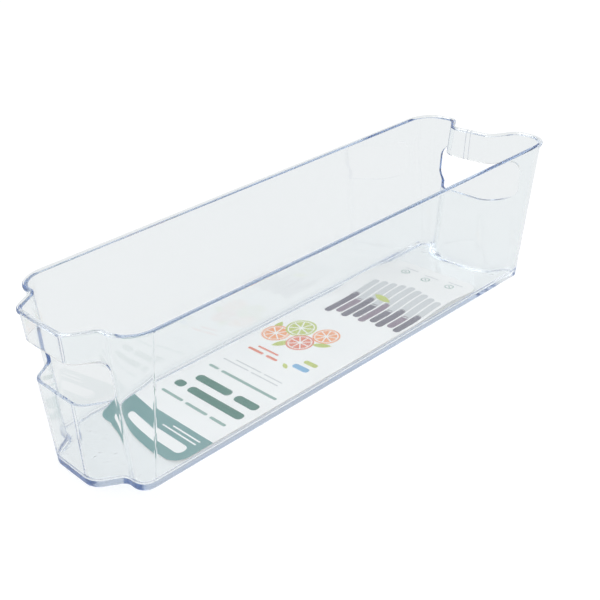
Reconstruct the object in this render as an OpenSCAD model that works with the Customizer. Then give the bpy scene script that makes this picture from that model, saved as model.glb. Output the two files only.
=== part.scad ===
// Long clear storage bin for a fridge shelf, with the printed card that lies on its floor.
// +X runs from the nose end to the recessed end, and the origin is the middle of the underside.
// The bin is one thin moulding: a plan outline is worked out at each height and lofted into a shell.

/* [Overall size] */
// Length over the rim
rim_l = 370; // [340:1:420]
// Width over the rim
rim_w = 110; // [104:1:150]
// Height from the underside to the top of the rim
bin_h = 98; // [88:1:140]

/* [Shell] */
// Thickness of the walls
wall_t = 2; // [1.4:0.1:3]
// Thickness of the floor
floor_t = 2.5; // [1.6:0.1:4]
// Outer rounding between the walls and the underside
foot_r = 1.2; // [0.6:0.1:4]
// Inner rounding between the walls and the floor
floor_r = 2.5; // [1:0.1:5]

/* [Rim] */
// How far the rim stands out from the walls
rim_out = 1.2; // [0.8:0.1:3]
// Height of the rim
rim_h = 1.5; // [1.2:0.1:5]
// Rounding of the rim's edges
rim_r = 0.6; // [0.2:0.1:0.7]

/* [Draft, from rim to underside] */
// How far each long wall leans in
side_draft = 9.5; // [2:0.1:11]
// How far the nose end leans in
near_draft = 1; // [0:0.1:12]
// How far the recessed end leans in beside the recess
far_draft = 14.5; // [2:0.1:20]
// How far the back of the recess leans in
recess_draft = 14.5; // [2:0.1:20]

/* [Corners] */
// Radius of the corners at the rim
corner_top_r = 18.5; // [15:0.5:20]
// Radius of the corners at the underside
corner_foot_r = 10; // [8:0.5:13]

/* [Nose] */
// How far the nose stands out
nose_d = 16; // [8:0.5:24]
// How far each side of the nose slants in from its root to its front
nose_slant = 10.5; // [6:0.5:18]
// Flat between the nose and the rounding of the corner beside it
nose_flat = 0.6; // [0.3:0.1:6]
// Radius of the two front corners of the nose
nose_r = 8; // [4:0.5:10]
// Radius of the two bends at the root of the nose
notch_r = 4; // [2:0.5:6]
// How far each side of the nose narrows towards the underside
nose_taper = 3.5; // [0:0.5:6]

/* [Recess] */
// Depth of the recess at the rim
recess_d = 15; // [8:0.5:20]
// Width of the back of the recess at the rim
recess_w = 28; // [24:0.5:34]
// Width of the mouth of the recess at the rim
mouth_w = 50; // [44:0.5:56]
// Radius of the two edges of the recess's mouth
mouth_r = 8; // [3:0.5:9]
// Radius of the two bends at the back of the recess
back_r = 6; // [2:0.5:8]
// How far each side of the recess narrows towards the underside
recess_taper = 2.7; // [0:0.1:4]

/* [Hand-holes] */
// How far each end of the nose's hand-hole runs past the root of the nose
hole_past = 1.3; // [0:0.1:3]
// Width of the hand-hole in the recessed end
far_hole_w = 66.5; // [58:0.5:68]
// Height of both hand-holes
hole_h = 25.3; // [18:0.1:34]
// Radius of the corners of the hand-holes
hole_r = 8; // [4:0.5:9]
// Height of the band between the rim's top and the nose end's hand-hole
near_band_h = 18.3; // [12:0.1:26]
// Height of the band between the rim's top and the recessed end's hand-hole
far_band_h = 19.8; // [12:0.1:26]

/* [Card] */
// Thickness of the card
card_t = 0.6; // [0.3:0.1:1]
// Radius of the card's corners
card_r = 10; // [4:0.5:16]
// Gap between each long edge of the card and the rounding of the floor
card_gap = 1.5; // [0.3:0.1:3]
// Distance from one end of the card to the wall beside the nose
card_inset = 23.5; // [6:0.5:40]
// Distance from its other end to the wall at the back of the recess
card_far_inset = 22.5; // [6:0.5:40]
// Height of the wave in the card near its far end
wave_h = 2.4; // [1:0.1:6]
// Length of the wave
wave_l = 72; // [50:1:110]
// Distance from the wave to the far end of the card
wave_inset = 1; // [1:1:40]

/* [Hidden] */

// Steps in each large corner, in each small bend and in each edge rounding
corner_steps = 9;
bend_steps = 4;
edge_steps = 4;
lip_steps = 2;
hole_fn = 48;
wave_steps = 28;

// Insets from the rim's outline to the outer and the inner faces of the walls
outer_in = -rim_out;
inner_in = -rim_out - wall_t;

// A bend never gets sharper than this where the shell's thickness uses up its radius
least_r = 0.4;

// Half the width of the nose's root at the rim: the bend there ends just before the corner's rounding
notch_bend = atan2(nose_d, nose_slant);
root_y = rim_w / 2 - corner_top_r - nose_flat - notch_r * tan(notch_bend / 2);
near_hole_w = 2 * (root_y + hole_past);

function lerp(a, b, t) = a + (b - a) * t;
function unit(v) = v / norm(v);
function left_of(v) = [-v[1], v[0]];
function turn(v, a) = [v[0] * cos(a) - v[1] * sin(a), v[0] * sin(a) + v[1] * cos(a)];

// Half the plan of the rim, leaned in for height t: t is 0 at the underside and 1 at the top.
// Each corner is [x, y, radius, steps].
function half_plan(t) =
    let (
        lean = 1 - t,
        nose_x = -rim_l / 2 + near_draft * lean,
        near_x = nose_x + nose_d,
        far_x = rim_l / 2 - far_draft * lean,
        back_x = rim_l / 2 - recess_d - recess_draft * lean,
        side_y = rim_w / 2 - side_draft * lean,
        corner_r = lerp(corner_foot_r, corner_top_r, t)
    )
    [
        [back_x, recess_w / 2 - recess_taper * lean, back_r, bend_steps],
        [far_x, mouth_w / 2 - recess_taper * lean, mouth_r, bend_steps],
        [far_x, side_y, corner_r, corner_steps],
        [near_x, side_y, corner_r, corner_steps],
        [near_x, root_y - nose_taper * lean, notch_r, bend_steps],
        [nose_x, root_y - nose_slant - nose_taper * lean, nose_r, bend_steps]
    ];

// The whole plan, anticlockwise from the back of the recess
function plan(t) =
    let (half = half_plan(t), n = len(half))
    concat(half, [for (i = [n - 1:-1:0]) [half[i][0], -half[i][1], half[i][2], half[i][3]]]);

// One corner of a plan, moved out by grow and rounded. Outer corners grow their radius, inner ones lose it.
function rounded_corner(p, i, grow) =
    let (
        n = len(p),
        here = [p[i][0], p[i][1]],
        into = unit(here - [p[(i + n - 1) % n][0], p[(i + n - 1) % n][1]]),
        away = unit([p[(i + 1) % n][0], p[(i + 1) % n][1]] - here),
        bend = atan2(into[0] * away[1] - into[1] * away[0], into * away),
        way = sign(bend),
        out_1 = -left_of(into),
        out_2 = -left_of(away),
        moved = here + (out_1 + out_2) * grow / (1 + out_1 * out_2),
        r = max(p[i][2] + way * grow, least_r),
        start = moved - into * r * tan(abs(bend) / 2),
        centre = start + way * left_of(into) * r,
        steps = p[i][3]
    )
    [for (k = [0:steps]) centre + turn(start - centre, bend * k / steps)];

// The closed outline at height z, moved out from the rim's outline by grow
function ring(z, grow) =
    let (p = plan(z / bin_h))
    [for (i = [0:len(p) - 1]) each [for (q = rounded_corner(p, i, grow)) [q[0], q[1], z]]];

// The section of the shell, from the underside up the outside, over the rim and down the inside to the floor
shell_rings = concat(
    [for (k = [0:edge_steps]) let (a = 90 * k / edge_steps)
        ring(foot_r * (1 - cos(a)), outer_in - foot_r * (1 - sin(a)))],
    [ring(bin_h - rim_h, outer_in), ring(bin_h - rim_h, -rim_r / 2), ring(bin_h - rim_h + rim_r / 2, 0)],
    [for (k = [0:lip_steps]) let (a = 90 * k / lip_steps)
        ring(bin_h - rim_r * (1 - sin(a)), -rim_r * (1 - cos(a)))],
    [for (k = [0:lip_steps]) let (a = 90 * k / lip_steps)
        ring(bin_h - rim_r * (1 - cos(a)), inner_in + rim_r * (1 - sin(a)))],
    [for (k = [0:edge_steps]) let (a = 90 * k / edge_steps)
        ring(floor_t + floor_r * (1 - sin(a)), inner_in - floor_r * (1 - cos(a)))]
);

// Closed solid through a list of rings with equal numbers of points
module loft(rings) {
    n = len(rings[0]);
    m = len(rings);
    polyhedron(
        points = [for (r = rings) each r],
        faces = concat(
            [[for (i = [0:n - 1]) i]],
            [for (j = [0:m - 2], i = [0:n - 1]) let (a = j * n + i, b = j * n + (i + 1) % n)
                each [[a, a + n, b], [b, a + n, b + n]]],
            [[for (i = [n - 1:-1:0]) (m - 1) * n + i]]
        )
    );
}

// Rounded rectangle, centred on its width and standing on its lower edge
module slot(w, h, r) {
    translate([-w / 2 + r, 0]) square([w - 2 * r, h]);
    translate([-w / 2, r]) square([w, h - 2 * r]);
    for (x = [-w / 2 + r, w / 2 - r], y = [r, h - r]) translate([x, y]) circle(r, $fn = hole_fn);
}

// Hand-hole cut along X from x to x + depth, under a band of the given height
module hand_hole(x, depth, w, band_h) {
    translate([x, 0, bin_h - band_h - hole_h])
        rotate([90, 0, 90]) linear_extrude(depth) slot(w, hole_h, hole_r);
}

// How far a hand-hole's cut runs past the walls on each side
cut_over = 6;
near_cut_d = nose_d + near_draft - inner_in + 2 * cut_over;
far_cut_d = recess_d + recess_draft - inner_in + 2 * cut_over;

module bin() {
    color([0.80, 0.88, 0.97, 0.45])
    difference() {
        loft(shell_rings);
        hand_hole(-rim_l / 2 - cut_over, near_cut_d, near_hole_w, near_band_h);
        hand_hole(rim_l / 2 + cut_over - far_cut_d, far_cut_d, far_hole_w, far_band_h);
    }
}

// The card fills the flat of the floor between the roundings, less its gap
floor_lean = 1 - floor_t / bin_h;
card_w = rim_w + 2 * (inner_in - side_draft * floor_lean - floor_r - card_gap);
card_x = -rim_l / 2 + near_draft + nose_d - inner_in + card_inset;
card_end = rim_l / 2 - recess_d - recess_draft * floor_lean + inner_in - card_far_inset;
card_l = card_end - card_x;
wave_x = card_l - wave_inset - wave_l;

// Height of the card above the floor at distance x along it
function card_lift(x) =
    x <= wave_x || x >= wave_x + wave_l ? 0 : wave_h / 2 * (1 - cos(360 * (x - wave_x) / wave_l));

module card() {
    stations = concat([0], [for (k = [0:wave_steps]) wave_x + wave_l * k / wave_steps], [card_l]);
    under = [for (x = stations) [x, card_lift(x)]];
    over = [for (k = [len(under) - 1:-1:0]) under[k] + [0, card_t]];
    color([0.96, 0.96, 0.95])
    translate([card_x, 0, floor_t])
    intersection() {
        rotate([90, 0, 0]) linear_extrude(card_w, center = true) polygon(concat(under, over));
        translate([card_l / 2, 0, -1]) linear_extrude(wave_h + card_t + 2)
            translate([0, -card_w / 2]) slot(card_l, card_w, card_r);
    }
}

bin();
card();
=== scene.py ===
import math

import bmesh
import bpy
from mathutils import Matrix, Vector


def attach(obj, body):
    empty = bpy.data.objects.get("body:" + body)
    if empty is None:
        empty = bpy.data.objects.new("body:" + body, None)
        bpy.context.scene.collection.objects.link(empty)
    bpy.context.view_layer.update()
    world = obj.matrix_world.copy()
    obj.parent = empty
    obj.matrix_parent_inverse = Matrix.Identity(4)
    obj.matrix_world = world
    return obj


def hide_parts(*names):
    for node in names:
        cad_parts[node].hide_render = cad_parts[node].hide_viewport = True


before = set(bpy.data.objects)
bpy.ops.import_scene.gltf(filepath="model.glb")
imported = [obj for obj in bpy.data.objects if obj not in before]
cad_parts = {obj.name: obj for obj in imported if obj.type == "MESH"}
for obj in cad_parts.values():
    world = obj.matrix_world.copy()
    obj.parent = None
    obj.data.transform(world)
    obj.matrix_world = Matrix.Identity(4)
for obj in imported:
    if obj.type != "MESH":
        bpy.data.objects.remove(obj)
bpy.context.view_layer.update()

# ---------------------------------------------------------------- camera
# The photograph looks down on the bin from the left of its nose end, with the camera leaning a little
# to one side. The frame is shifted because the bin sits off the middle of the lens's own view.
eye = bpy.data.cameras.new("camera")
eye.sensor_width = 36.0
eye.lens = 57.98
eye.shift_x = 0.1
eye.shift_y = 0.0711
eye.clip_start = 0.01
camera = bpy.data.objects.new("camera", eye)
to_right = Vector((0.748118, -0.65735, -0.090611))
to_top = Vector((0.389877, 0.324942, 0.861632))
to_back = Vector((-0.53695, -0.67993, 0.499381))
aim = Matrix((to_right, to_top, to_back)).transposed().to_4x4()
camera.matrix_world = Matrix.Translation((-0.3727, -0.4009, 0.3221)) @ aim
bpy.context.scene.collection.objects.link(camera)
bpy.context.scene.camera = camera

# ---------------------------------------------------------------- moulded bin
# The bin is one injection moulding of clear polystyrene, 2 mm thick, with leaning walls, a nose at one
# end and a recess at the other. Its rim is a low bead that stands out a little all round. The mould's
# side cores leave the hand-holes, whose edges are square and lightly rounded.
MM = 0.001
rim_length, rim_width, bin_height = 370 * MM, 110 * MM, 98 * MM
wall, floor_thickness, foot_radius, floor_radius = 2 * MM, 2.5 * MM, 1.2 * MM, 3.9 * MM
rim_out, rim_height, rim_radius = 1.2 * MM, 2.1 * MM, 1.1 * MM
side_lean, nose_end_lean, recess_end_lean = 9.5 * MM, 1 * MM, 14.5 * MM
corner_at_rim, corner_at_foot = 18.5 * MM, 10 * MM
far_corner_loss = 1.8 * MM  # how much sharper the far corners are at the foot
nose_depth, nose_slant, nose_taper = 16 * MM, 10.5 * MM, 3.5 * MM
nose_bend, nose_bend_gain, root_bend, root_flat = 11 * MM, 2 * MM, 4 * MM, 0.6 * MM
root_turn = math.atan2(nose_depth, nose_slant)
root_half = rim_width / 2 - corner_at_rim - root_flat - root_bend * math.tan(root_turn / 2)
recess_depth, recess_half, mouth_half = 15 * MM, 15 * MM, 26 * MM
recess_spread, mouth_bend, back_bend = 6 * MM, 8.5 * MM, 8 * MM
hole_height, hole_corner, hole_edge = 25.3 * MM, 8 * MM, 0.5 * MM
nose_band, recess_band, hole_past_root = 18.3 * MM, 19.8 * MM, 1.3 * MM
nose_hole_half, nose_hole_foot = root_half + hole_past_root, bin_height - nose_band - hole_height
recess_hole_half, recess_hole_foot = 33.6 * MM, bin_height - recess_band - hole_height


def plan_corners(height):
    """The corners of the bin's plan at one height, as (x, y, radius, segments), anticlockwise."""
    up = height / bin_height
    lean = 1 - up
    nose_x = -rim_length / 2 + nose_end_lean * lean
    near_x = nose_x + nose_depth
    far_x = rim_length / 2 - recess_end_lean * lean
    side_y = rim_width / 2 - side_lean * lean
    corner = corner_at_foot + (corner_at_rim - corner_at_foot) * up
    spread, taper = recess_spread * lean, nose_taper * lean
    half = [
        (far_x - recess_depth, recess_half + spread, back_bend + spread, 10),
        (far_x, mouth_half + spread, mouth_bend, 8),
        (far_x, side_y, corner - far_corner_loss * lean, 20),
        (near_x, side_y, corner, 20),
        (near_x, root_half - taper, root_bend, 8),
        (nose_x, root_half - nose_slant - taper, nose_bend + nose_bend_gain * lean, 10),
    ]
    return half + [(x, -y, r, n) for x, y, r, n in reversed(half)]


def outline(bm, height, grow):
    """Draws the plan at one height, moved out by grow, as a ring of edges with its corners rounded."""
    corners = plan_corners(height)
    points = [Vector(c[:2]) for c in corners]
    verts, cuts = [], []
    for i, (x, y, radius, segments) in enumerate(corners):
        into = (points[i] - points[i - 1]).normalized()
        away = (points[(i + 1) % len(points)] - points[i]).normalized()
        turn = into.cross(away)
        bend = math.atan2(turn, into.dot(away))
        out = Vector((into.y, -into.x)) + Vector((away.y, -away.x))
        place = points[i] + out * (grow / (1 + math.cos(bend)))
        verts.append(bm.verts.new((place.x, place.y, height)))
        rounded = max(radius + (grow if bend > 0 else -grow), 0.4 * MM)
        cuts.append((rounded * math.tan(abs(bend) / 2), segments))
    bm.faces.new(verts)
    for vert, (cut, segments) in zip(verts, cuts):
        bmesh.ops.bevel(
            bm, geom=[vert], offset=cut, offset_type="ABSOLUTE", segments=segments,
            profile=0.5, affect="VERTICES", material=-1,
        )
    edges = [e for face in bm.faces for e in face.edges]
    bmesh.ops.delete(bm, geom=bm.faces[:], context="FACES_ONLY")
    return edges


def quarter(parts):
    """Sine and cosine of the angles that cut a quarter of a circle into equal parts."""
    angles = [math.radians(90 * k / parts) for k in range(parts + 1)]
    return [(math.sin(a), math.cos(a)) for a in angles]


def section():
    """The shell's section as (height, grow) steps: up the outside, over the rim and down the inside."""
    outside, inside = -rim_out, -rim_out - wall
    under = bin_height - rim_height
    on_walls = (16, 32, 48, 64, 80)  # heights in mm
    steps = [(foot_radius * (1 - c), outside - foot_radius * (1 - s)) for s, c in quarter(4)]
    steps += [(z * MM, outside) for z in on_walls]
    steps += [(under, outside), (under, -rim_radius / 2)]
    steps += [(under + rim_radius / 4, -rim_radius / 12), (under + rim_radius / 2, 0)]
    steps += [(bin_height - rim_radius * (1 - s), -rim_radius * (1 - c)) for s, c in quarter(3)]
    steps += [(bin_height - rim_radius * (1 - c), inside + rim_radius * (1 - s)) for s, c in quarter(3)]
    steps += [(z * MM, inside) for z in reversed(on_walls)]
    steps += [(floor_thickness + floor_radius * (1 - s), inside - floor_radius * (1 - c)) for s, c in quarter(4)]
    return steps


# The rings are joined while they stand well apart, one above the other, and then brought to their own heights
bm = bmesh.new()
rings = [outline(bm, height, grow) for height, grow in section()]
apart = 0.2
for k, ring in enumerate(rings):
    bmesh.ops.translate(bm, vec=(0, 0, k * apart), verts=list({v for e in ring for v in e.verts}))
for lower, upper in zip(rings, rings[1:]):
    bmesh.ops.bridge_loops(bm, edges=lower + upper)
bmesh.ops.triangle_fill(bm, edges=rings[0], use_beauty=True)
bmesh.ops.triangle_fill(bm, edges=rings[-1], use_beauty=True)
for k, ring in enumerate(rings):
    bmesh.ops.translate(bm, vec=(0, 0, -k * apart), verts=list({v for e in ring for v in e.verts}))
bmesh.ops.recalc_face_normals(bm, faces=bm.faces)
shell_mesh = bpy.data.meshes.new("clear_bin")
bm.to_mesh(shell_mesh)
bm.free()
clear_bin = bpy.data.objects.new("clear_bin", shell_mesh)
bpy.context.scene.collection.objects.link(clear_bin)


def hole_core(name, x_from, x_to, half, foot):
    """The mould's side core that leaves a hand-hole: a bar along X with rounded corners."""
    bm = bmesh.new()
    bmesh.ops.create_cube(bm, size=1)
    bmesh.ops.scale(bm, vec=(x_to - x_from, 2 * half, hole_height), verts=bm.verts)
    bmesh.ops.translate(bm, vec=((x_from + x_to) / 2, 0, foot + hole_height / 2), verts=bm.verts)
    along = [e for e in bm.edges if abs(e.verts[0].co.x - e.verts[1].co.x) > 1 * MM]
    bmesh.ops.bevel(
        bm, geom=along, offset=hole_corner, segments=12, profile=0.5, affect="EDGES", material=-1,
    )
    mesh = bpy.data.meshes.new(name)
    bm.to_mesh(mesh)
    bm.free()
    core = bpy.data.objects.new(name, mesh)
    bpy.context.scene.collection.objects.link(core)
    return core


# Each core reaches from outside the bin to well inside its end walls
past_end, nose_reach, recess_reach = 6 * MM, 11 * MM, 42 * MM
near_end, far_end = -rim_length / 2, rim_length / 2
cores = [
    hole_core("nose_core", near_end - past_end, near_end + nose_depth + nose_reach, nose_hole_half, nose_hole_foot),
    hole_core("recess_core", far_end - recess_reach, far_end + past_end, recess_hole_half, recess_hole_foot),
]
for core in cores:
    cut = clear_bin.modifiers.new("cut", "BOOLEAN")
    cut.operation, cut.solver, cut.object = "DIFFERENCE", "EXACT", core
depsgraph = bpy.context.evaluated_depsgraph_get()
cut_mesh = bpy.data.meshes.new_from_object(clear_bin.evaluated_get(depsgraph))
clear_bin.modifiers.clear()
clear_bin.data = cut_mesh
for core in cores:
    bpy.data.objects.remove(core)

# The edges of the hand-holes are lightly rounded, which is what lets them catch the light
bm = bmesh.new()
bm.from_mesh(cut_mesh)
bmesh.ops.remove_doubles(bm, verts=bm.verts, dist=0.004 * MM)
low = min(nose_hole_foot, recess_hole_foot) - 1 * MM
high = max(nose_hole_foot, recess_hole_foot) + hole_height + 1 * MM
sharp = [
    e for e in bm.edges
    if e.is_manifold and e.calc_face_angle() > math.radians(50)
    and all(low < v.co.z < high and abs(v.co.x) > 130 * MM for v in e.verts)
]
bmesh.ops.bevel(
    bm, geom=sharp, offset=hole_edge, segments=3,
    profile=0.5, affect="EDGES", clamp_overlap=True, material=-1,
)
for face in bm.faces:
    face.smooth = True
bm.to_mesh(cut_mesh)
bm.free()
cut_mesh.set_sharp_from_angle(angle=math.radians(38))
weigh = clear_bin.modifiers.new("even_normals", "WEIGHTED_NORMAL")
weigh.keep_sharp = True


def linear(hex_colour):
    """An sRGB hex colour as linear red, green, blue and an alpha of 1."""
    parts = [int(hex_colour[i:i + 2], 16) / 255 for i in (1, 3, 5)]
    return [p / 12.92 if p <= 0.04045 else ((p + 0.055) / 1.055) ** 2.4 for p in parts] + [1.0]


def node(material, kind, settings=None, **links):
    """Adds a node. Settings are its properties or its sockets' values; links are the sources of its
    sockets, named with _ for a space, or as _0, _1 and so on by number."""
    made = material.node_tree.nodes.new(kind)
    for key, value in (settings or {}).items():
        if isinstance(key, int) or key in made.inputs:
            made.inputs[key].default_value = value
        else:
            setattr(made, key, value)
    for key, source in links.items():
        by_number = key[0] == "_" and key[1:].isdigit()
        socket = made.inputs[int(key[1:]) if by_number else key.replace("_", " ")]
        material.node_tree.links.new(source, socket)
    return made


def blank_material(name):
    """A new material that holds nothing but its output, and that output."""
    material = bpy.data.materials.new(name)
    material.use_nodes = True
    for old in list(material.node_tree.nodes):
        if old.type != "OUTPUT_MATERIAL":
            material.node_tree.nodes.remove(old)
    return material, next(n for n in material.node_tree.nodes if n.type == "OUTPUT_MATERIAL")


# Crystal polystyrene, moulded in a polished tool: almost colourless through one wall, blue where the eye
# looks along it, with slow waves from shrinkage and a faint haze from handling.
polystyrene, out = blank_material("Crystal polystyrene, polished moulding")
place = node(polystyrene, "ShaderNodeTexCoord")
waves = node(
    polystyrene, "ShaderNodeTexNoise", {"Scale": 1 / (30 * MM), "Detail": 1.0},
    Vector=place.outputs["Object"],
)
haze = node(
    polystyrene, "ShaderNodeTexNoise", {"Scale": 1 / (9 * MM), "Detail": 4.0},
    Vector=place.outputs["Object"],
)
rough = node(
    polystyrene, "ShaderNodeMapRange",
    {"From Min": 0.35, "From Max": 0.75, "To Min": 0.012, "To Max": 0.06},
    Value=haze.outputs["Fac"],
)
ripple = node(
    polystyrene, "ShaderNodeBump", {"Strength": 0.25, "Distance": 0.25 * MM},
    Height=waves.outputs["Fac"],
)

# A fine witness line of the mould runs down the near wall where the corner's rounding starts
line_slope, line_start, line_half = 0.0786, -158 * MM, 0.7 * MM
at = node(polystyrene, "ShaderNodeSeparateXYZ", Vector=place.outputs["Object"])
corner_start = node(
    polystyrene, "ShaderNodeMath", {"operation": "MULTIPLY_ADD", 1: line_slope, 2: line_start},
    _0=at.outputs["Z"],
)
off_line = node(
    polystyrene, "ShaderNodeMath", {"operation": "SUBTRACT"},
    _0=at.outputs["X"], _1=corner_start.outputs[0],
)
aside = node(polystyrene, "ShaderNodeMath", {"operation": "ABSOLUTE"}, _0=off_line.outputs[0])
line = node(
    polystyrene, "ShaderNodeMapRange",
    {"interpolation_type": "SMOOTHSTEP", "From Max": line_half, "To Min": 0.35, "To Max": 0.0},
    Value=aside.outputs[0],
)
near_side = node(polystyrene, "ShaderNodeMath", {"operation": "LESS_THAN", 1: -40 * MM}, _0=at.outputs["Y"])
near_line = node(
    polystyrene, "ShaderNodeMath", {"operation": "MULTIPLY"},
    _0=line.outputs[0], _1=near_side.outputs[0],
)

# Two more stand close together on the band over the recess
pair_middle, pair_apart, pair_half = 1.6 * MM, 1.8 * MM, 0.5 * MM
off_pair = node(polystyrene, "ShaderNodeMath", {"operation": "SUBTRACT", 1: pair_middle}, _0=at.outputs["Y"])
pair_side = node(polystyrene, "ShaderNodeMath", {"operation": "ABSOLUTE"}, _0=off_pair.outputs[0])
off_one = node(polystyrene, "ShaderNodeMath", {"operation": "SUBTRACT", 1: pair_apart}, _0=pair_side.outputs[0])
one_side = node(polystyrene, "ShaderNodeMath", {"operation": "ABSOLUTE"}, _0=off_one.outputs[0])
pair = node(
    polystyrene, "ShaderNodeMapRange",
    {"interpolation_type": "SMOOTHSTEP", "From Max": pair_half, "To Min": 1.0, "To Max": 0.0},
    Value=one_side.outputs[0],
)
on_band = node(polystyrene, "ShaderNodeMath", {"operation": "GREATER_THAN", 1: 70 * MM}, _0=at.outputs["Z"])
at_far_end = node(polystyrene, "ShaderNodeMath", {"operation": "GREATER_THAN", 1: 150 * MM}, _0=at.outputs["X"])
in_place = node(
    polystyrene, "ShaderNodeMath", {"operation": "MULTIPLY"},
    _0=on_band.outputs[0], _1=at_far_end.outputs[0],
)
far_lines = node(
    polystyrene, "ShaderNodeMath", {"operation": "MULTIPLY"},
    _0=pair.outputs[0], _1=in_place.outputs[0],
)
lines = node(
    polystyrene, "ShaderNodeMath", {"operation": "ADD"},
    _0=near_line.outputs[0], _1=far_lines.outputs[0],
)
witness = node(
    polystyrene, "ShaderNodeBump", {"Strength": 1.0, "Distance": 0.15 * MM},
    Height=lines.outputs[0], Normal=ripple.outputs["Normal"],
)

# At both ends of the floor the melt came together in soft pits and swirls, which break up the light
swirl = node(
    polystyrene, "ShaderNodeTexNoise", {"Scale": 1 / (6 * MM), "Detail": 2.0},
    Vector=place.outputs["Object"],
)
pit = node(
    polystyrene, "ShaderNodeMapRange",
    {"interpolation_type": "SMOOTHSTEP", "From Min": 0.5, "From Max": 0.72},
    Value=swirl.outputs["Fac"],
)
from_middle = node(polystyrene, "ShaderNodeMath", {"operation": "ABSOLUTE"}, _0=at.outputs["X"])
to_end = node(
    polystyrene, "ShaderNodeMapRange", {"From Min": 140 * MM, "From Max": 156 * MM},
    Value=from_middle.outputs[0],
)
near_floor = node(
    polystyrene, "ShaderNodeMapRange",
    {"From Min": 3 * MM, "From Max": 9 * MM, "To Min": 1.0, "To Max": 0.0},
    Value=at.outputs["Z"],
)
amount = node(
    polystyrene, "ShaderNodeMath", {"operation": "MULTIPLY"},
    _0=to_end.outputs[0], _1=near_floor.outputs[0],
)
pitted = node(polystyrene, "ShaderNodeMath", {"operation": "MULTIPLY"}, _0=pit.outputs[0], _1=amount.outputs[0])
pits = node(
    polystyrene, "ShaderNodeBump", {"Strength": 1.0, "Distance": 0.12 * MM},
    Height=pitted.outputs[0], Normal=witness.outputs["Normal"],
)
glassy = node(
    polystyrene, "ShaderNodeBsdfPrincipled",
    {"Base Color": linear("#FCFEFE"), "IOR": 1.59, "Transmission Weight": 1.0},
    Roughness=rough.outputs[0], Normal=pits.outputs["Normal"],
)
lets_lamps_in = node(polystyrene, "ShaderNodeBsdfTransparent", {"Color": linear("#FCFDFE")})
path = node(polystyrene, "ShaderNodeLightPath")
surface = node(
    polystyrene, "ShaderNodeMixShader",
    _0=path.outputs["Is Shadow Ray"], _1=glassy.outputs[0], _2=lets_lamps_in.outputs[0],
)
tint = node(polystyrene, "ShaderNodeVolumeAbsorption", {"Color": linear("#59A2DF"), "Density": 4.2})
polystyrene.node_tree.links.new(surface.outputs[0], out.inputs["Surface"])
polystyrene.node_tree.links.new(tint.outputs[0], out.inputs["Volume"])
cut_mesh.materials.clear()
cut_mesh.materials.append(polystyrene)
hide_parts("bin")
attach(clear_bin, "shell")

# ---------------------------------------------------------------- printed card
# The card is a loose sheet of coated board, 0.6 mm thick, cut with round corners. It lies on the floor of
# the bin and has a shallow wave near its far end, where it has curled. It touches the floor only at a few
# high spots, so a hair of air is left under it, and the light in the floor runs on beneath.
card_start, card_end = -141.3 * MM, 130.16 * MM
card_half, card_thickness, card_corner = 38.54 * MM, 0.6 * MM, 10 * MM
wave_height, wave_length = 2.4 * MM, 72 * MM
wave_start = card_end - 1 * MM - wave_length
off_floor = 0.08 * MM


def lift(x):
    """How far the card stands off the floor at x."""
    return wave_height / 2 * (1 - math.cos(2 * math.pi * min(max(x - wave_start, 0), wave_length) / wave_length))


def cut_across(sheet, x):
    """Cuts a sheet's faces in two along the line at x."""
    everything = sheet.verts[:] + sheet.edges[:] + sheet.faces[:]
    bmesh.ops.bisect_plane(sheet, geom=everything, dist=1e-7, plane_co=(x, 0, 0), plane_no=(1, 0, 0))


def bend_on_floor(sheet, above):
    """Lays a flat sheet drawn at z = 0 on the bin's floor, at a height above it and along the card's wave."""
    for k in range(1, 36):
        cut_across(sheet, wave_start + wave_length * k / 36)
    for vert in sheet.verts:
        vert.co.z += floor_thickness + off_floor + above + lift(vert.co.x)


def thicken(sheet, thickness):
    """Gives a flat sheet its thickness, upwards."""
    top = bmesh.ops.extrude_face_region(sheet, geom=sheet.faces[:])["geom"]
    bmesh.ops.translate(sheet, vec=(0, 0, thickness), verts=[g for g in top if isinstance(g, bmesh.types.BMVert)])
    bmesh.ops.recalc_face_normals(sheet, faces=sheet.faces)


def rounded_sheet(along, across, corner, segments):
    """A flat rectangle at the origin with its corners rounded."""
    sheet = bmesh.new()
    bmesh.ops.create_grid(sheet, x_segments=1, y_segments=1, size=0.5)
    bmesh.ops.scale(sheet, vec=(along, across, 1), verts=sheet.verts)
    if corner > 0:
        bmesh.ops.bevel(
            sheet, geom=sheet.verts[:], offset=corner, offset_type="ABSOLUTE", segments=segments,
            profile=0.5, affect="VERTICES", material=-1,
        )
    return sheet


card = rounded_sheet(card_end - card_start, 2 * card_half, card_corner, 8)
bmesh.ops.translate(card, vec=((card_start + card_end) / 2, 0, 0), verts=card.verts)
band_end = -114 * MM
cut_across(card, band_end)
bend_on_floor(card, 0)
thicken(card, card_thickness)
inks = [
    "board", "teal", "dark_green", "grey_green", "orange", "lime",
    "coral", "sky_blue", "slate", "mauve", "pale_grey",
]
for face in card.faces:
    if face.normal.z > 0.5 and face.calc_center_median().x < band_end:
        face.material_index = inks.index("teal")

# The rest of the print is laid on the board as films of ink, each a hair above the one before it
ink_film, film_step, films = 0.03 * MM, 0.0015 * MM, 0
scrap = bpy.data.meshes.new("scrap")


def lay_print(shape, x, y, ink, turn=0.0):
    """Turns a flat shape, puts it at x and y in mm, and adds it to the card as a film of one ink."""
    global films
    films += 1
    bmesh.ops.rotate(shape, cent=(0, 0, 0), matrix=Matrix.Rotation(math.radians(turn), 3, "Z"), verts=shape.verts)
    bmesh.ops.translate(shape, vec=(x * MM, y * MM, 0), verts=shape.verts)
    bend_on_floor(shape, card_thickness - ink_film / 2)
    thicken(shape, ink_film + film_step * films)
    for face in shape.faces:
        face.material_index = inks.index(ink)
    shape.to_mesh(scrap)
    shape.free()
    card.from_mesh(scrap)


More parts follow.
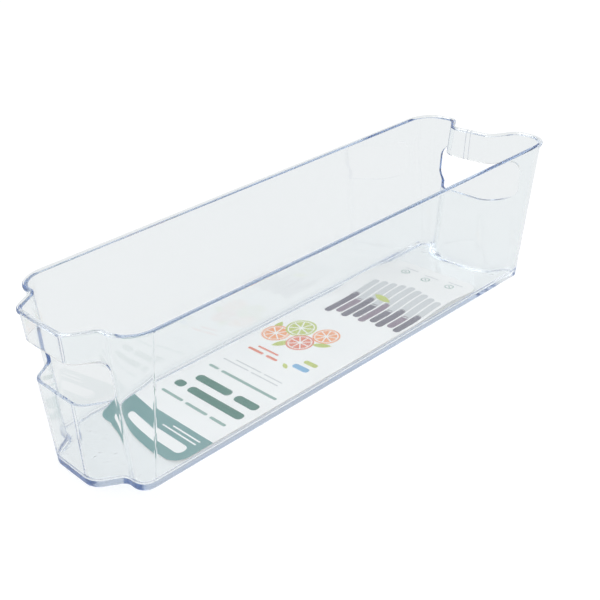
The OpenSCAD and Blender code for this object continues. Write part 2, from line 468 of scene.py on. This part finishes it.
def bar(x, y, along, across, ink, turn=0.0, corner=None):
    """A plain bar; sizes in mm along X and across it, with its ends rounded unless a corner is given."""
    corner = min(along, across) * 0.45 if corner is None else corner
    lay_print(rounded_sheet(along * MM, across * MM, corner * MM, 4), x, y, ink, turn)


def disc(x, y, radius, ink):
    """A plain disc; sizes in mm."""
    shape = bmesh.new()
    bmesh.ops.create_circle(shape, cap_ends=True, segments=32, radius=radius * MM)
    lay_print(shape, x, y, ink)


def leaf(x, y, length, width, turn, ink):
    """A leaf: a lozenge with its two wide corners rounded right off; sizes in mm."""
    shape = bmesh.new()
    bmesh.ops.create_circle(shape, cap_ends=True, segments=4, radius=0.5 * MM)
    bmesh.ops.scale(shape, vec=(length, width * 1.6, 1), verts=shape.verts)
    wide = [v for v in shape.verts if abs(v.co.y) > abs(v.co.x)]
    cut = math.hypot(length, width * 1.6) * 0.38 * MM
    bmesh.ops.bevel(
        shape, geom=wide, offset=cut, offset_type="ABSOLUTE", segments=7,
        profile=0.5, affect="VERTICES", material=-1,
    )
    lay_print(shape, x, y, ink, turn)


def citrus(x, y, radius, ink, turn):
    """A slice of citrus: rind, pith, and eight segments between pale lines."""
    disc(x, y, radius, ink)
    disc(x, y, radius * 0.87, "board")
    disc(x, y, radius * 0.79, ink)
    for k in range(4):
        bar(x, y, radius * 1.6, radius * 0.09, "board", turn + 45 * k, 0)


# In the end band: a bare label and two rules
bar(-130, -3.5, 8, 57, "board")
bar(-121.8, -17, 1.1, 31, "board")
bar(-118.6, -20, 1.1, 25, "board")

# Heading: rows of plain bars, thin and thick
for x, thick, ink, ends in (
    (-98.5, 2.2, "grey_green", (29.5, 9, 6, -14, -17, -31)),
    (-86.8, 6.4, "dark_green", (30, 21.5, 17, -32.6)),
    (-74.6, 6.4, "dark_green", (24, -8, -12.5, -32.4)),
    (-60.5, 2.2, "grey_green", (29, 20, 17, -33.5)),
    (-49.6, 1.0, "pale_grey", (28, 4, 1.5, -23)),
    (-45.8, 1.0, "pale_grey", (20, -4, -6.5, -23)),
    (-29.6, 2.2, "coral", (26, 12, 9, -1)),
    (-24.6, 1.6, "coral", (22, 3)),
):
    for start, end in zip(ends[::2], ends[1::2]):
        bar(x, (start + end) / 2, thick, start - end, ink)

# A small two-bar mark with a leaf beside it
bar(-26, -19, 4.6, 13, "sky_blue")
bar(-18.6, -20.5, 3.8, 11, "lime")
leaf(-30.5, -9.5, 7, 3.4, 60, "lime")

# Slices of citrus and leaves
leaf(-12, 12.5, 15, 6.5, 150, "lime")
leaf(1.5, 31, 14, 6, 20, "lime")
citrus(-5.5, 25.5, 9.8, "orange", 10)
citrus(9.8, 17, 10.6, "lime", 30)
citrus(-4.2, 4, 9.4, "coral", 0)
citrus(12.5, -3.8, 9.2, "orange", 22)
leaf(2.2, -9.5, 13, 5.5, 120, "lime")

# A panel of stripes, dark towards the near end and fading to pale
for k in range(9):
    y = 21.5 - 6.9 * k
    start, middle, end = 38 + 3.2 * (k % 2) + 0.9 * k, 66 + 5 * ((k + 1) % 2), 98 - 1.6 * abs(k - 4)
    bar((middle + end) / 2 - 4, y, end - middle + 8, 5.4, "pale_grey")
    bar((start + middle) / 2, y, middle - start, 5.4, "mauve" if k % 3 == 1 else "slate")
leaf(74, 2, 16, 6, 80, "lime")

# Three small rings with a line beside each, at the far end
for x, y in ((116.4, 17), (114.8, -2.5), (116.8, -22)):
    disc(x, y, 3.2, "grey_green")
    disc(x, y, 2.5, "board")
    bar(x, y, 3.2, 0.7, "grey_green", 45)
    bar(x + 6, y - 1, 0.8, 12, "pale_grey")

card_mesh = bpy.data.meshes.new("card_sheet")
card.to_mesh(card_mesh)
card.free()
bpy.data.meshes.remove(scrap)
card_sheet = bpy.data.objects.new("card_sheet", card_mesh)
bpy.context.scene.collection.objects.link(card_sheet)


def printed(name, light, dark):
    """Coated board, offset printed: two close tones mottled by the fibres under the ink, and a satin coat."""
    material, out = blank_material(name)
    place = node(material, "ShaderNodeTexCoord")
    fibre = node(
        material, "ShaderNodeTexNoise", {"Scale": 1 / (1.2 * MM), "Detail": 3.0},
        Vector=place.outputs["Object"],
    )
    cloud = node(
        material, "ShaderNodeTexNoise", {"Scale": 1 / (35 * MM), "Detail": 2.0},
        Vector=place.outputs["Object"],
    )
    both = node(
        material, "ShaderNodeMath", {"operation": "ADD"},
        _0=fibre.outputs["Fac"], _1=cloud.outputs["Fac"],
    )
    mix = node(material, "ShaderNodeMapRange", {"From Min": 0.6, "From Max": 1.4}, Value=both.outputs[0])
    shade = node(
        material, "ShaderNodeMix", {"data_type": "RGBA", 6: linear(light), 7: linear(dark)},
        Factor=mix.outputs[0],
    )
    grain = node(
        material, "ShaderNodeBump", {"Strength": 0.15, "Distance": 0.02 * MM},
        Height=fibre.outputs["Fac"],
    )
    coat = node(
        material, "ShaderNodeBsdfPrincipled", {"Roughness": 0.42, "IOR": 1.5},
        Base_Color=shade.outputs[2], Normal=grain.outputs["Normal"],
    )
    material.node_tree.links.new(coat.outputs[0], out.inputs["Surface"])
    return material


for name, light, dark in (
    ("Coated board, bare white", "#F9FAFA", "#F3F4F5"),
    ("Coated board, teal ink", "#74A0A0", "#6A9698"),
    ("Coated board, dark green ink", "#3F7C70", "#357266"),
    ("Coated board, grey green ink", "#8FB0AA", "#86A7A1"),
    ("Coated board, orange ink", "#F2A877", "#EE9B66"),
    ("Coated board, lime ink", "#C3CF74", "#B7C463"),
    ("Coated board, coral ink", "#E4876E", "#DD7A61"),
    ("Coated board, sky blue ink", "#7FB6DE", "#73ABD4"),
    ("Coated board, slate ink", "#6E6C7C", "#605E6E"),
    ("Coated board, mauve ink", "#8C7C8E", "#7F6F82"),
    ("Coated board, pale grey ink", "#D3D7DA", "#C8CCD0"),
):
    card_mesh.materials.append(printed(name, light, dark))
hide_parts("card")
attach(card_sheet, "insert")

# ---------------------------------------------------------------- floor, world and lamps
# A plain white table under soft studio light. Its own colour is lifted for what the eye sees of it,
# straight or through the plastic, so that it meets the white background and still takes the shadow.
table_mesh = bpy.data.meshes.new("table_top")
bm = bmesh.new()
bmesh.ops.create_grid(bm, x_segments=1, y_segments=1, size=3.0)
bmesh.ops.translate(bm, vec=(0, 0, -0.1 * MM), verts=bm.verts)
bm.to_mesh(table_mesh)
bm.free()
table_top = bpy.data.objects.new("table_top", table_mesh)
bpy.context.scene.collection.objects.link(table_top)
laminate, out = blank_material("White laminate table")
path = node(laminate, "ShaderNodeLightPath")
lifted = node(laminate, "ShaderNodeMath", {"operation": "MULTIPLY", 1: 0.25}, _0=path.outputs["Is Camera Ray"])
matt = node(laminate, "ShaderNodeBsdfDiffuse", {"Color": linear("#E9EAEC")})
glow = node(laminate, "ShaderNodeEmission", {"Color": (1, 1, 1, 1)}, Strength=lifted.outputs[0])
bare = node(laminate, "ShaderNodeAddShader", _0=matt.outputs[0], _1=glow.outputs[0])
dim_matt = node(laminate, "ShaderNodeBsdfDiffuse", {"Color": linear("#9C9C9E")})
dim_glow = node(laminate, "ShaderNodeEmission", {"Color": linear("#F5F7F7"), "Strength": 0.6})
in_plastic = node(laminate, "ShaderNodeAddShader", _0=dim_matt.outputs[0], _1=dim_glow.outputs[0])
through = node(
    laminate, "ShaderNodeMath", {"operation": "MAXIMUM"},
    _0=path.outputs["Is Glossy Ray"], _1=path.outputs["Is Transmission Ray"],
)
table = node(laminate, "ShaderNodeMixShader", _0=through.outputs[0], _1=bare.outputs[0], _2=in_plastic.outputs[0])
laminate.node_tree.links.new(table.outputs[0], out.inputs["Surface"])
table_mesh.materials.append(laminate)

# Above the horizon, what shines in the plastic falls off to a dimmer ceiling; the light on the object is even
world = bpy.data.worlds.new("studio")
bpy.context.scene.world = world
world.use_nodes = True
for old in list(world.node_tree.nodes):
    world.node_tree.nodes.remove(old)
path = node(world, "ShaderNodeLightPath")
way = node(world, "ShaderNodeTexCoord")
height = node(world, "ShaderNodeSeparateXYZ", Vector=way.outputs["Generated"])
mirrored = node(
    world, "ShaderNodeMapRange",
    {"From Min": 0.05, "From Max": 0.6, "To Min": 0.945, "To Max": 0.67},
    Value=height.outputs["Z"],
)
through = node(
    world, "ShaderNodeMath", {"operation": "MAXIMUM"},
    _0=path.outputs["Is Glossy Ray"], _1=path.outputs["Is Transmission Ray"],
)
shone = node(
    world, "ShaderNodeMix", {"data_type": "FLOAT", 2: 0.62},
    _0=through.outputs[0], _3=mirrored.outputs[0],
)
strength = node(
    world, "ShaderNodeMix", {"data_type": "FLOAT", 3: 1.0},
    _0=path.outputs["Is Camera Ray"], _2=shone.outputs[0],
)
sky = node(world, "ShaderNodeBackground", {"Color": (1, 1, 1, 1)}, Strength=strength.outputs[0])
out = node(world, "ShaderNodeOutputWorld", Surface=sky.outputs[0])

# One broad lamp from above the far left: its light is the same all over the table
lamp = bpy.data.lights.new("softbox", "SUN")
lamp.energy, lamp.angle = 1.35, math.radians(50)
softbox = bpy.data.objects.new("softbox", lamp)
softbox.matrix_world = Vector((-0.35, 0.45, 1.0)).to_track_quat("Z", "Y").to_matrix().to_4x4()
bpy.context.scene.collection.objects.link(softbox)
bpy.context.scene.view_settings.view_transform = "Standard"

# Light goes round many times inside the rim and the floor's edge before it leaves them
paths = bpy.context.scene.cycles
paths.max_bounces = paths.transmission_bounces = paths.glossy_bounces = 160
paths.transparent_max_bounces = 16
